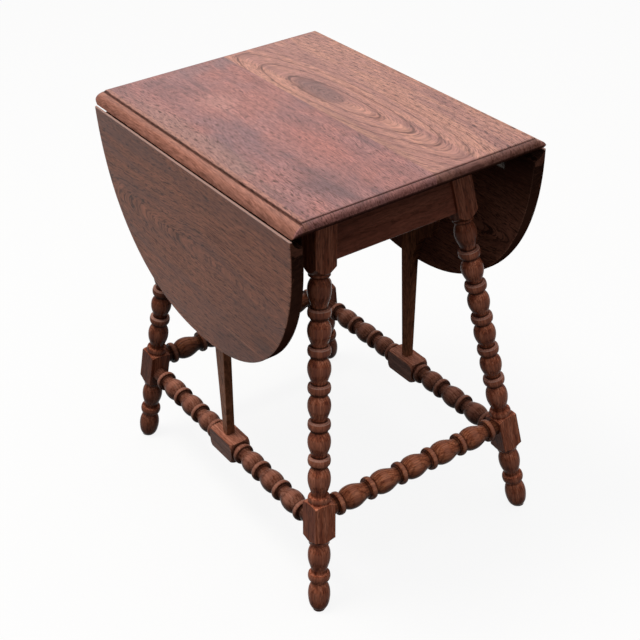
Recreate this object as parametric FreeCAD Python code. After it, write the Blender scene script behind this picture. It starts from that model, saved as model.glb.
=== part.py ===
import FreeCAD, Part
import math
import os

os.makedirs("parts", exist_ok=True)
V = FreeCAD.Vector

# Overall sizes in millimetres, Z up, front end towards -Y, left leaf towards -X
table_height = 610.0
board_thickness = 18.5
flat_half_width = 180.6
flat_half_length = 249.0
seam_x = 15.0

# Rule joint between top and leaves
fillet_depth = 3.5
ovolo_radius = 14.8
rule_clearance = 0.5
lip_gap = 2.0
worn_edge = 0.8
hang_tilt = 1.2

# Moulding on the two ends of the top
end_fillet_depth = 1.6
end_mould_reach = 6.5
end_mould_drop = 9.4
end_mould_nose = 1.4
under_bevel = 6.0

# Leaf outline
leaf_half_length = 251.0
leaf_reach = 267.5
leaf_roundness = 2.25
leaf_edge_round = 1.4

# Splayed legs
foot_spread_x = 3.7
foot_spread_y = 1.9
lean_x = 84.6
lean_y = 81.9
leg_block_half = 16.3
block_corner_reach = 24.5
block_edge_round = 1.0
leg_ring_radius = 15.8
leg_ring_face = 14.8
leg_ring_width = 10.2
leg_fillet_radius = 12.3
leg_fillet_width = 3.4
leg_groove_radius = 10.0
leg_groove_width = 1.4
leg_neck_radius = 10.8
leg_bulb_radius = 15.9
leg_block_below_rail = 15.0
leg_first_share = 0.1653
leg_pitch_share = 0.1640
leg_ring_count = 5
leg_neck_share = 0.96
leg_collar_height = 171.4
leg_collar_width = 8.0
leg_low_block_top = 165.7
leg_low_block_bottom = 104.0
leg_low_ring = 52.1
leg_shoulder = 8.0
leg_top_shoulder = 13.0
leg_top_shoulder_drop = 10.0
leg_top_disc_radius = 14.8
leg_top_disc_face = 14.1
leg_top_disc_width = 3.6
leg_cove = 10.0
foot_bulb_radius = 15.7
foot_tip_radius = 9.0

# Rails
rail_depth = 87.5
rail_edge_ease = 1.0
rail_thickness = 16.0
rail_setback = 5.5
tenon_thickness = 8.0
tenon_depth = 13.5
tenon_shoulder = 14.0
mortise_end_gap = 0.3
joint_clearance = 0.1

# Turned stretchers
end_stretcher_height = 149.5
side_stretcher_height = 128.8
stretch_ring_radius = 16.0
stretch_ring_face = 15.1
stretch_ring_width = 7.2
stretch_fillet_radius = 12.4
stretch_fillet_width = 2.4
stretch_groove_radius = 10.9
stretch_groove_width = 1.2
stretch_neck_radius = 11.1
stretch_bulb_radius = 16.1
end_stretch_extra = 1.0
stretch_neck_share = 0.90
stretch_pitch = 53.3
stretch_ring_leg_gap = 2.0
side_first_ring = 86.9
side_block_half_length = 30.3
side_block_half = 16.5
side_block_reach = 23.0
side_collar_offset = 7.6
side_shoulder = 6.5
stretch_tenon_radius = 7.0
stretch_tenon_past_axis = 2.0

# Swing brackets
bracket_thickness = 13.2
bracket_foot_gap = 0.4
bracket_top_gap = 0.8
bracket_back = 6.1
bracket_foot_front = 5.8
bracket_waist_front = 17.3
bracket_waist_height = 305.0
bracket_knee_front = 64.0
bracket_knee_height = 389.3
bracket_tip_front = 110.0
bracket_edge_round = 1.2
pivot_radius = 3.0
pivot_in_bracket = 16.0
pivot_in_block = 14.0
pivot_in_top = 9.0
fixed_fit = 0.03
running_fit = 0.08

# Drop-leaf hinges, two to each leaf
hinge_y = 178.0
hinge_width = 36.0
hinge_plate = 1.8
hinge_knuckle = 2.6
hinge_pin_radius = 1.2
hinge_fixed_length = 30.0
hinge_moving_length = 46.0
hinge_side_gap = 0.3
hinge_notch = 5.6
hinge_moving_start = 6.2
hinge_channel = 5.4
hinge_relief = 0.5
hinge_screw_head = 3.4
hinge_screw_shank = 1.7
hinge_screw_depth = 11.0
hinge_screw_spread = 12.0
hinge_fixed_screw_near = 14.0
hinge_fixed_screw_far = 24.0
hinge_moving_screw_near = 24.0
hinge_moving_screw_far = 38.0
screw_clearance = 0.05

# Corner blocks and the screws that hold the top
corner_block_height = 36.0
corner_block_leg = 72.0
top_screw_inset = 27.5
top_screw_head = 4.2
top_screw_shank = 2.2
top_screw_in_top = 11.0
top_screw_head_depth = 3.0

underside = table_height - board_thickness
hinge_z = table_height - fillet_depth - ovolo_radius
below_axis = hinge_z - underside
rail_bottom = underside - rail_depth
foot_x = flat_half_width + foot_spread_x
foot_y = flat_half_length + foot_spread_y
leg_top_block_end = rail_bottom - leg_block_below_rail
leg_turned = leg_top_block_end - leg_collar_height
leg_first_ring = leg_top_block_end - leg_first_share * leg_turned
leg_ring_pitch = leg_pitch_share * leg_turned
leg_slope = math.sqrt(table_height ** 2 + lean_x ** 2 + lean_y ** 2) / table_height


def box(x0, x1, y0, y1, z0, z1):
    return Part.makeBox(x1 - x0, y1 - y0, z1 - z0, V(x0, y0, z0))


def rod(radius, start, end):
    way = end.sub(start)
    return Part.makeCylinder(radius, way.Length, start, way)


def plate(points, way):
    return Part.Face(Part.makePolygon(points + [points[0]])).extrude(way)


def join(shapes):
    solid = shapes[0].multiFuse(shapes[1:])
    return solid.removeSplitter()


def mirror_x(shape):
    return shape.mirror(V(0, 0, 0), V(1, 0, 0))


def mirror_y(shape):
    return shape.mirror(V(0, 0, 0), V(0, 1, 0))


def curve_through(points):
    spline = Part.BSplineCurve()
    spline.interpolate(points)
    return spline.toShape()


# A turned piece: steps run along the turning axis as (kind, [(along, radius), ...])
def turned(start, steps):
    edges = []
    first = V(start[1], 0, start[0])
    here = first
    for kind, stations in steps:
        points = [V(radius, 0, along) for along, radius in stations]
        if kind == "line":
            edges.append(Part.makeLine(here, points[0]))
        elif kind == "arc":
            edges.append(Part.Arc(here, points[0], points[1]).toShape())
        else:
            edges.append(curve_through([here] + points))
        here = points[-1]
    last = V(0, 0, here.z)
    base = V(0, 0, first.z)
    edges.append(Part.makeLine(here, last))
    edges.append(Part.makeLine(last, base))
    edges.append(Part.makeLine(base, first))
    return Part.Face(Part.Wire(edges)).revolve(V(0, 0, 0), V(0, 0, 1), 360)


# A bead with a short step and a groove after it, way is +1 or -1 along the axis
def bead(centre, way, width, face, radius, step_radius, step_width, groove_radius, groove_width):
    near = centre - way * width / 2
    far = centre + way * width / 2
    step = far + way * step_width
    return [
        ("line", [(near, face)]),
        ("arc", [(centre, radius), (far, face)]),
        ("line", [(far, step_radius)]),
        ("line", [(step, step_radius)]),
        ("line", [(step + way * groove_width, groove_radius)]),
    ]


# A bobbin swelling from radius r0 at s0, then narrowing to a neck that flares a little at s1
def bobbin(s0, r0, s1, r1, radius, neck_share):
    rise = radius - r0
    fall = radius - r1
    swell = [(0.06, 0.72 * rise), (0.13, 0.44 * rise), (0.22, 0.18 * rise), (0.32, 0.04 * rise)]
    swell += [(0.41, 0.0)]
    taper = [(0.54, 0.06 * fall), (0.68, 0.30 * fall), (0.81, 0.64 * fall), (0.92, 0.92 * fall)]
    shape = [(part * neck_share, radius - loss) for part, loss in swell + taper]
    shape += [(neck_share, r1), (1.0, r1 + 0.12 * fall)]
    return [("curve", [(s0 + part * (s1 - s0), r) for part, r in shape])]


# Rounded shoulder from a square block down to a round turning, or back up
def shoulder(block_end, way, reach, size):
    low = reach - size
    side = size * math.sqrt(0.5)
    start = block_end - way * size
    return [
        ("line", [(start, reach)]),
        ("arc", [(start + way * side, low + side), (block_end, low)]),
    ]


def shoulder_up(block_end, way, reach, size):
    low = reach - size
    side = size * math.sqrt(0.5)
    full = block_end + way * size
    return [
        ("line", [(block_end, low)]),
        ("arc", [(full - way * side, low + side), (full, reach)]),
    ]


# Hollow shoulder under the low block of a leg
def cove(block_end, way, reach, size):
    low = reach - size
    side = size * (1 - math.sqrt(0.5))
    start = block_end - way * size
    return [
        ("line", [(start, reach)]),
        ("arc", [(start + way * side, low + side), (block_end, low)]),
    ]


def leg_bead(height, width):
    return bead(height * leg_slope, -1, width, leg_ring_face, leg_ring_radius, leg_fillet_radius,
                leg_fillet_width, leg_groove_radius, leg_groove_width)


def leg_bobbin(s0, s1):
    return bobbin(s0, leg_groove_radius, s1, leg_neck_radius, leg_bulb_radius, leg_neck_share)


def stretch_bobbin(s0, s1, extra=0.0):
    return bobbin(s0, stretch_groove_radius + extra, s1, stretch_neck_radius + extra,
                  stretch_bulb_radius + extra, stretch_neck_share)


def stretch_bead(centre, extra=0.0):
    return bead(centre, 1, stretch_ring_width, stretch_ring_face + extra, stretch_ring_radius + extra,
                stretch_fillet_radius + extra, stretch_fillet_width,
                stretch_groove_radius + extra, stretch_groove_width)


# Front left leg, turned along its own axis and set at its splay
def leg_placement():
    lean = V(lean_x, lean_y, table_height)
    lean.normalize()
    side = V(1, 0, 0) - lean * lean.x
    side.normalize()
    front = lean.cross(side)
    matrix = FreeCAD.Matrix(
        side.x, front.x, lean.x, -foot_x,
        side.y, front.y, lean.y, -foot_y,
        side.z, front.z, lean.z, 0,
        0, 0, 0, 1,
    )
    return FreeCAD.Placement(matrix)


leg_place = leg_placement()


def in_leg(shape):
    placed = shape.copy()
    placed.Placement = leg_place
    return placed


# A square bar along Z with its four long corners eased
def square_bar(half, low, high):
    bar = box(-half, half, -half, half, low, high)
    corners = [edge for edge in bar.Edges if abs(edge.Vertexes[0].Z - edge.Vertexes[1].Z) > half]
    return bar.makeFillet(block_edge_round, corners)


def make_leg_blank():
    top = table_height * leg_slope + 40
    after_bead = leg_ring_width / 2 + leg_fillet_width + leg_groove_width
    block_end = leg_top_block_end * leg_slope
    disc_end = block_end - leg_top_disc_width
    low = block_corner_reach - leg_top_shoulder_drop
    middle = block_corner_reach - 0.37 * leg_top_shoulder_drop
    steps = [
        ("line", [(block_end + leg_top_shoulder, block_corner_reach)]),
        ("arc", [(block_end + 0.62 * leg_top_shoulder, middle), (block_end, low)]),
        ("line", [(block_end, leg_top_disc_face)]),
        ("arc", [(block_end - leg_top_disc_width / 2, leg_top_disc_radius), (disc_end, leg_top_disc_face)]),
    ]
    start = disc_end - leg_groove_width
    steps += [("line", [(start, leg_groove_radius)])]
    for number in range(leg_ring_count):
        height = leg_first_ring - number * leg_ring_pitch
        ring = height * leg_slope
        steps += leg_bobbin(start, ring + leg_ring_width / 2)
        steps += leg_bead(height, leg_ring_width)
        start = ring - after_bead
    collar = leg_collar_height * leg_slope
    steps += leg_bobbin(start, collar + leg_collar_width / 2)
    steps += [
        ("line", [(collar + leg_collar_width / 2, leg_ring_face)]),
        ("arc", [(collar, leg_ring_radius), (collar - leg_collar_width / 2, leg_ring_face)]),
        ("line", [(leg_low_block_top * leg_slope, leg_ring_face)]),
    ]
    steps += shoulder_up(leg_low_block_top * leg_slope, -1, block_corner_reach, leg_shoulder)
    steps += cove(leg_low_block_bottom * leg_slope, -1, block_corner_reach, leg_cove)
    start = leg_low_block_bottom * leg_slope
    steps += [("line", [(start, leg_fillet_radius)])]
    start -= leg_groove_width
    steps += [("line", [(start, leg_groove_radius)])]
    ring = leg_low_ring * leg_slope
    steps += leg_bobbin(start, ring + leg_ring_width / 2)
    steps += leg_bead(leg_low_ring, leg_ring_width)
    start = ring - after_bead
    rise = foot_bulb_radius - leg_groove_radius
    fall = foot_bulb_radius - foot_tip_radius
    foot = [(0.90, 0.52 * rise), (0.76, 0.16 * rise), (0.60, 0.0), (0.42, 0.04 * fall), (0.26, 0.20 * fall)]
    foot += [(0.13, 0.46 * fall), (0.05, 0.76 * fall), (0.0, fall)]
    steps += [("curve", [(start * part, foot_bulb_radius - loss) for part, loss in foot])]
    steps += [("line", [(-leg_shoulder, foot_tip_radius)])]
    round_part = turned((top, block_corner_reach), steps)
    square_part = square_bar(leg_block_half, -leg_shoulder, top)
    leg = in_leg(round_part.common(square_part))
    reach = 2 * foot_y
    leg = leg.common(box(-reach, 0, -reach, 0, 0, underside))
    return leg


def leg_prism(extra):
    half = leg_block_half + extra
    return in_leg(box(-half, half, -half, half, -50, table_height + 60))


def axis_x(z):
    return foot_x - lean_x * z / table_height


def axis_y(z):
    return foot_y - lean_y * z / table_height


slant_x = math.sqrt(1 + (lean_x / table_height) ** 2)
slant_y = math.sqrt(1 + (lean_y / table_height) ** 2)
rail_outer = leg_block_half - rail_setback
rail_inner = rail_outer - rail_thickness
tenon_outer = rail_outer - (rail_thickness - tenon_thickness) / 2
tenon_inner = tenon_outer - tenon_thickness


# Long slanted bars that the front end rail and the left side rail are cut from
def end_bar(outer, inner, z0, z1):
    corners = [(outer, z0 + rail_edge_ease), (outer - rail_edge_ease, z0)]
    corners += [(inner, z0), (inner, z1), (outer, z1)]
    points = [V(-foot_x, -axis_y(z) - offset * slant_y, z) for offset, z in corners]
    return plate(points, V(2 * foot_x, 0, 0))


def side_bar(outer, inner, z0, z1):
    corners = [(outer, z0 + rail_edge_ease), (outer - rail_edge_ease, z0)]
    corners += [(inner, z0), (inner, z1), (outer, z1)]
    points = [V(-axis_x(z) - offset * slant_x, -foot_y, z) for offset, z in corners]
    return plate(points, V(0, 2 * foot_y, 0))


far = 600.0
leg_blank = make_leg_blank()
prism_front_left = leg_prism(0)
prism_front_right = mirror_x(prism_front_left)
prism_rear_left = mirror_y(prism_front_left)
tenon_bottom = rail_bottom + tenon_shoulder
tenon_top = underside - tenon_shoulder
tenon_start = leg_block_half - tenon_depth
mortise_start = tenon_start - mortise_end_gap
block_wide = 2 * leg_block_half
low_reach = leg_low_block_top
high_reach = 2 * table_height
past_face = leg_block_half + mortise_end_gap
end_tenon_space = in_leg(box(tenon_start, past_face, -block_wide, block_wide, low_reach, high_reach))
side_tenon_space = in_leg(box(-block_wide, block_wide, tenon_start, past_face, low_reach, high_reach))
end_mortise_space = in_leg(box(mortise_start, block_wide, -block_wide, block_wide, low_reach, high_reach))
side_mortise_space = in_leg(box(-block_wide, block_wide, mortise_start, block_wide, low_reach, high_reach))
end_core = end_bar(tenon_outer, tenon_inner, tenon_bottom, tenon_top)
side_core = side_bar(tenon_outer, tenon_inner, tenon_bottom, tenon_top)
end_core_room = end_bar(tenon_outer + joint_clearance, tenon_inner - joint_clearance,
                        tenon_bottom - joint_clearance, tenon_top + joint_clearance)
side_core_room = side_bar(tenon_outer + joint_clearance, tenon_inner - joint_clearance,
                          tenon_bottom - joint_clearance, tenon_top + joint_clearance)


# The length between the two legs, out of a bar that was cut at both of them
def between_legs(shape):
    return max(shape.Solids, key=lambda solid: solid.Volume)


end_bar_front = end_bar(rail_outer, rail_inner, rail_bottom, underside)
end_body = between_legs(end_bar_front.cut(prism_front_left).cut(prism_front_right))
end_tenon = end_core.common(end_tenon_space)
end_rail = join([end_body, end_tenon, mirror_x(end_tenon)])

side_bar_left = side_bar(rail_outer, rail_inner, rail_bottom, underside)
side_body = between_legs(side_bar_left.cut(prism_front_left).cut(prism_rear_left))
side_tenon = side_core.common(side_tenon_space)
side_rail = join([side_body, side_tenon, mirror_y(side_tenon)])

# End stretcher, turned along X
end_stretcher_y = axis_y(end_stretcher_height)
end_leg_x = axis_x(end_stretcher_height)
ring_to_axis = leg_block_half + stretch_ring_leg_gap + stretch_ring_width / 2
end_ring_count = 1 + int(2 * (end_leg_x - ring_to_axis) / stretch_pitch)


def make_end_stretcher():
    first = -stretch_pitch * (end_ring_count - 1) / 2
    after_bead = stretch_ring_width / 2 + stretch_fillet_width + stretch_groove_width
    end_neck = stretch_neck_radius + end_stretch_extra
    steps = [("line", [(first - stretch_ring_width / 2, end_neck)])]
    for number in range(end_ring_count):
        ring = first + number * stretch_pitch
        if number > 0:
            before = ring - stretch_ring_width / 2
            steps += stretch_bobbin(ring - stretch_pitch + after_bead, before, end_stretch_extra)
        steps += stretch_bead(ring, end_stretch_extra)
    steps += [("line", [(end_leg_x, stretch_groove_radius + end_stretch_extra)])]
    body = turned((-end_leg_x, end_neck), steps)
    body.Placement = FreeCAD.Placement(V(0, -end_stretcher_y, end_stretcher_height),
                                       FreeCAD.Rotation(V(0, 1, 0), 90))
    body = body.cut(prism_front_left).cut(prism_front_right)
    reach = end_leg_x + stretch_tenon_past_axis
    tenon = rod(stretch_tenon_radius, V(-reach, -end_stretcher_y, end_stretcher_height),
                V(reach, -end_stretcher_y, end_stretcher_height))
    return join([body, tenon])


end_stretcher = make_end_stretcher()
stretch_hole_depth = stretch_tenon_past_axis + mortise_end_gap
end_hole = rod(stretch_tenon_radius + joint_clearance,
               V(-end_leg_x - stretch_hole_depth, -end_stretcher_y, end_stretcher_height),
               V(0, -end_stretcher_y, end_stretcher_height))

# Side stretcher, turned along Y with a square block in the middle
side_stretcher_x = axis_x(side_stretcher_height)
side_leg_y = axis_y(side_stretcher_height)
side_ring_count = 1 + int((side_leg_y - ring_to_axis - side_first_ring) / stretch_pitch)


def make_side_stretcher():
    after_bead = stretch_ring_width / 2 + stretch_fillet_width + stretch_groove_width
    half_ring = stretch_ring_width / 2
    collar = side_block_half_length + side_collar_offset
    rings = [-side_first_ring - number * stretch_pitch for number in range(side_ring_count)]
    rings = rings[::-1]
    steps = [("line", [(rings[0] - half_ring, stretch_neck_radius)])]
    for ring in rings:
        if ring > rings[0]:
            steps += stretch_bobbin(ring - stretch_pitch + after_bead, ring - half_ring)
        steps += stretch_bead(ring)
    steps += stretch_bobbin(rings[-1] + after_bead, -collar - half_ring)
    steps += stretch_bead(-collar)[:3]
    steps += [("line", [(-side_block_half_length, stretch_fillet_radius)])]
    steps += shoulder_up(-side_block_half_length, 1, side_block_reach, side_shoulder)
    steps += shoulder(side_block_half_length, 1, side_block_reach, side_shoulder)
    steps += [("line", [(side_block_half_length, stretch_fillet_radius)])]
    steps += [("line", [(collar - half_ring, stretch_fillet_radius)])]
    steps += stretch_bead(collar)
    start = collar + after_bead
    for number in range(side_ring_count):
        ring = side_first_ring + number * stretch_pitch
        steps += stretch_bobbin(start, ring - half_ring)
        steps += stretch_bead(ring)
        start = ring + after_bead
    steps += [("line", [(side_leg_y, stretch_fillet_radius)])]
    body = turned((-side_leg_y, stretch_neck_radius), steps)
    body = body.common(square_bar(side_block_half, -far, far))
    body.Placement = FreeCAD.Placement(V(-side_stretcher_x, 0, side_stretcher_height),
                                       FreeCAD.Rotation(V(1, 0, 0), -90))
    body = body.cut(prism_front_left).cut(prism_rear_left)
    reach = side_leg_y + stretch_tenon_past_axis
    tenon = rod(stretch_tenon_radius, V(-side_stretcher_x, -reach, side_stretcher_height),
                V(-side_stretcher_x, reach, side_stretcher_height))
    body = join([body, tenon])
    top = side_stretcher_height + side_block_half
    hole = rod(pivot_radius + running_fit, V(-side_stretcher_x, 0, top - pivot_in_block - 1),
               V(-side_stretcher_x, 0, top + 1))
    return body.cut(hole)


side_stretcher = make_side_stretcher()
side_hole = rod(stretch_tenon_radius + joint_clearance,
                V(-side_stretcher_x, -side_leg_y - stretch_hole_depth, side_stretcher_height),
                V(-side_stretcher_x, 0, side_stretcher_height))

leg = leg_blank.cut(end_core_room.common(end_mortise_space))
leg = leg.cut(side_core_room.common(side_mortise_space))
leg = leg.cut(end_hole).cut(side_hole)

# Swing bracket of the left side, a board that turns on two pins
block_top = side_stretcher_height + side_block_half
bracket_bottom = block_top + bracket_foot_gap
bracket_top = underside - bracket_top_gap


def make_bracket():
    x = -side_stretcher_x - bracket_thickness / 2
    foot = V(x, -bracket_foot_front, bracket_bottom)
    waist = V(x, -bracket_waist_front, bracket_waist_height)
    knee = V(x, -bracket_knee_front, bracket_knee_height)
    drop = bracket_knee_height - bracket_waist_height
    out = bracket_knee_front - bracket_waist_front
    sweep = [waist]
    for along, up in ((0.03, 0.20), (0.10, 0.41), (0.24, 0.62), (0.45, 0.80), (0.78, 0.95)):
        sweep.append(V(x, -bracket_waist_front - out * along, bracket_waist_height + drop * up))
    sweep.append(knee)
    tip = V(x, -bracket_tip_front, bracket_top)
    back_top = V(x, bracket_back, bracket_top)
    back_foot = V(x, bracket_back, bracket_bottom)
    edges = [
        Part.makeLine(back_foot, foot),
        Part.makeLine(foot, waist),
        curve_through(sweep),
        Part.makeLine(knee, tip),
        Part.makeLine(tip, back_top),
        Part.makeLine(back_top, back_foot),
    ]
    board = Part.Face(Part.Wire(edges)).extrude(V(bracket_thickness, 0, 0))
    long_edges = []
    for edge in board.Edges:
        ends = [vertex.Point for vertex in edge.Vertexes]
        if abs(ends[0].x - ends[1].x) < 0.1 and abs(ends[0].z - ends[1].z) > bracket_thickness:
            long_edges.append(edge)
    board = board.makeFillet(bracket_edge_round, long_edges)
    low = rod(pivot_radius + fixed_fit, V(-side_stretcher_x, 0, bracket_bottom - 1),
              V(-side_stretcher_x, 0, bracket_bottom + pivot_in_bracket))
    high = rod(pivot_radius + fixed_fit, V(-side_stretcher_x, 0, bracket_top - pivot_in_bracket),
               V(-side_stretcher_x, 0, bracket_top + 1))
    return board.cut(low).cut(high)


bracket = make_bracket()
low_pin = rod(pivot_radius, V(-side_stretcher_x, 0, block_top - pivot_in_block),
              V(-side_stretcher_x, 0, bracket_bottom + pivot_in_bracket))
high_pin = rod(pivot_radius, V(-side_stretcher_x, 0, bracket_top - pivot_in_bracket),
               V(-side_stretcher_x, 0, underside + pivot_in_top))
bracket_pins = Part.makeCompound([low_pin, high_pin])


# Drop-leaf hinge of the left leaf drawn with the leaf level, y is the middle of the hinge
def hinge_block(y0, y1, out0, out1, low, high):
    return box(-flat_half_width - out1, -flat_half_width - out0, y0, y1, hinge_z + low, hinge_z + high)


def knuckle(y0, y1, radius):
    return rod(radius, V(-flat_half_width, y0, hinge_z), V(-flat_half_width, y1, hinge_z))


plate_low = -below_axis - hinge_plate
plate_high = -below_axis


def hinge_screw_spots(y, moving):
    if moving:
        near = hinge_moving_screw_near
        last = hinge_moving_screw_far
    else:
        near = -hinge_fixed_screw_near
        last = -hinge_fixed_screw_far
    return [(y - hinge_screw_spread, near), (y + hinge_screw_spread, near), (y, last)]


def wood_screw(x, y, z, head, shank, head_depth, length, room):
    cone = Part.makeCone(head + room, shank + room, head_depth, V(x, y, z))
    stem = rod(shank + room, V(x, y, z + head_depth / 2), V(x, y, z + length))
    return join([cone, stem])


def hinge_screws(y, moving, room):
    screws = []
    length = hinge_plate + hinge_screw_depth
    for spot_y, out in hinge_screw_spots(y, moving):
        screws.append(wood_screw(-flat_half_width - out, spot_y, hinge_z + plate_low, hinge_screw_head,
                                 hinge_screw_shank, hinge_plate, length, room))
    return screws


def make_hinge(y):
    third = hinge_width / 6
    y0 = y - hinge_width / 2
    y1 = y + hinge_width / 2
    mid0 = y - third
    mid1 = y + third
    gap = hinge_side_gap
    fixed = join([
        hinge_block(y0, y1, -hinge_fixed_length, -hinge_notch, plate_low, plate_high),
        hinge_block(y0, mid0 - gap, -hinge_notch - 1, hinge_knuckle, plate_low, plate_high),
        hinge_block(mid1 + gap, y1, -hinge_notch - 1, hinge_knuckle, plate_low, plate_high),
        hinge_block(y0, mid0 - gap, -hinge_knuckle, hinge_knuckle, plate_low, 0),
        hinge_block(mid1 + gap, y1, -hinge_knuckle, hinge_knuckle, plate_low, 0),
        knuckle(y0, mid0 - gap, hinge_knuckle),
        knuckle(mid1 + gap, y1, hinge_knuckle),
    ])
    moving = join([
        hinge_block(y0, y1, hinge_moving_start, hinge_moving_length, plate_low, plate_high),
        hinge_block(mid0, mid1, -hinge_knuckle, hinge_moving_start + 1, plate_low, plate_high),
        hinge_block(mid0, mid1, -hinge_knuckle, hinge_knuckle, plate_low, 0),
        knuckle(mid0, mid1, hinge_knuckle),
    ])
    fixed = fixed.cut(knuckle(y0 - 1, y1 + 1, hinge_pin_radius + fixed_fit))
    moving = moving.cut(knuckle(y0 - 1, y1 + 1, hinge_pin_radius + running_fit))
    for screw in hinge_screws(y, False, screw_clearance):
        fixed = fixed.cut(screw)
    for screw in hinge_screws(y, True, screw_clearance):
        moving = moving.cut(screw)
    return fixed, moving, knuckle(y0, y1, hinge_pin_radius)


# Room in the underside of the top for the knuckles and for the moving plates
def hinge_room(y):
    y0 = y - hinge_width / 2 - 0.6
    y1 = y + hinge_width / 2 + 0.6
    channel = knuckle(y0, y1, hinge_channel)
    relief = hinge_block(y0, y1, 0, ovolo_radius + 2, -below_axis - 1, -below_axis + hinge_relief)
    return channel.fuse(relief)


fixed_front, moving_front, pin_front = make_hinge(-hinge_y)
fixed_rear, moving_rear, pin_rear = make_hinge(hinge_y)
fixed_screws = hinge_screws(-hinge_y, False, 0) + hinge_screws(hinge_y, False, 0)
moving_screws = hinge_screws(-hinge_y, True, 0) + hinge_screws(hinge_y, True, 0)


# Top with its moulded edges, the two profiles meet in mitres at the corners
def side_profile():
    half = flat_half_width
    wide = half + ovolo_radius
    side = ovolo_radius * math.sqrt(0.5)
    depth = flat_half_length + end_mould_reach + 10
    edges = []
    for sign in (1, -1):
        worn = V(sign * (half - worn_edge), -depth, table_height)
        step_top = V(sign * half, -depth, table_height - worn_edge)
        step = V(sign * half, -depth, table_height - fillet_depth)
        middle = V(sign * (half + side), -depth, hinge_z + side)
        out = V(sign * wide, -depth, hinge_z)
        low = V(sign * wide, -depth, underside)
        run = [Part.makeLine(worn, step_top), Part.makeLine(step_top, step)]
        run += [Part.Arc(step, middle, out).toShape(), Part.makeLine(out, low)]
        edges.append(run)
    across_end = half - worn_edge
    across = Part.makeLine(V(-across_end, -depth, table_height), V(across_end, -depth, table_height))
    under = Part.makeLine(V(wide, -depth, underside), V(-wide, -depth, underside))
    wire = Part.Wire(Part.__sortEdges__(edges[0] + [under] + edges[1] + [across]))
    return Part.Face(wire).extrude(V(0, 2 * depth, 0))


def end_profile():
    half = flat_half_length
    long = half + end_mould_reach
    depth = flat_half_width + ovolo_radius + 10
    step_z = table_height - end_fillet_depth
    low_z = step_z - end_mould_drop
    edges = []
    for sign in (1, -1):
        worn = V(-depth, sign * (half - worn_edge), table_height)
        step_top = V(-depth, sign * half, table_height - worn_edge)
        step = V(-depth, sign * half, step_z)
        points = []
        for part in range(1, 7):
            turn = math.radians(15 * part)
            points.append(V(-depth, sign * (half + end_mould_reach * math.sin(turn)),
                            low_z + end_mould_drop * math.cos(turn)))
        out = V(-depth, sign * long, low_z)
        nose = V(-depth, sign * long, low_z - end_mould_nose)
        low = V(-depth, sign * (long - under_bevel), underside)
        edges += [Part.makeLine(worn, step_top), Part.makeLine(step_top, step)]
        edges += [curve_through([step] + points)]
        edges += [Part.makeLine(out, nose), Part.makeLine(nose, low)]
    flat = half - worn_edge
    across = Part.makeLine(V(-depth, -flat, table_height), V(-depth, flat, table_height))
    under = Part.makeLine(V(-depth, long - under_bevel, underside), V(-depth, -long + under_bevel, underside))
    wire = Part.Wire(Part.__sortEdges__(edges + [across, under]))
    return Part.Face(wire).extrude(V(2 * depth, 0, 0))


top = side_profile().common(end_profile())
room = [hinge_room(-hinge_y), hinge_room(hinge_y)]
room += hinge_screws(-hinge_y, False, screw_clearance) + hinge_screws(hinge_y, False, screw_clearance)
room.append(rod(pivot_radius + running_fit, V(-side_stretcher_x, 0, underside - 1),
                V(-side_stretcher_x, 0, underside + pivot_in_top + 1)))


corner_block_bottom = underside - corner_block_height
corner_block_x = axis_x(corner_block_bottom)
corner_block_y = axis_y(corner_block_bottom)


def top_screw(room_size):
    x = top_screw_inset - corner_block_x
    y = top_screw_inset - corner_block_y
    length = corner_block_height + top_screw_in_top
    return wood_screw(x, y, corner_block_bottom, top_screw_head, top_screw_shank,
                      top_screw_head_depth, length, room_size)


room += [top_screw(screw_clearance), mirror_y(top_screw(screw_clearance))]
for piece in room:
    top = top.cut(piece).cut(mirror_x(piece))
top_left = top.common(box(-far, seam_x, -far, far, 0, 2 * far))
top_right = top.common(box(seam_x, far, -far, far, 0, 2 * far))

# Corner blocks inside the rails
corner = plate([
    V(-corner_block_x, -corner_block_y, corner_block_bottom),
    V(-corner_block_x + corner_block_leg, -corner_block_y, corner_block_bottom),
    V(-corner_block_x, -corner_block_y + corner_block_leg, corner_block_bottom),
], V(0, 0, corner_block_height))
corner = corner.cut(end_bar_front).cut(side_bar_left).cut(prism_front_left)
corner = corner.cut(top_screw(screw_clearance))


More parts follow.
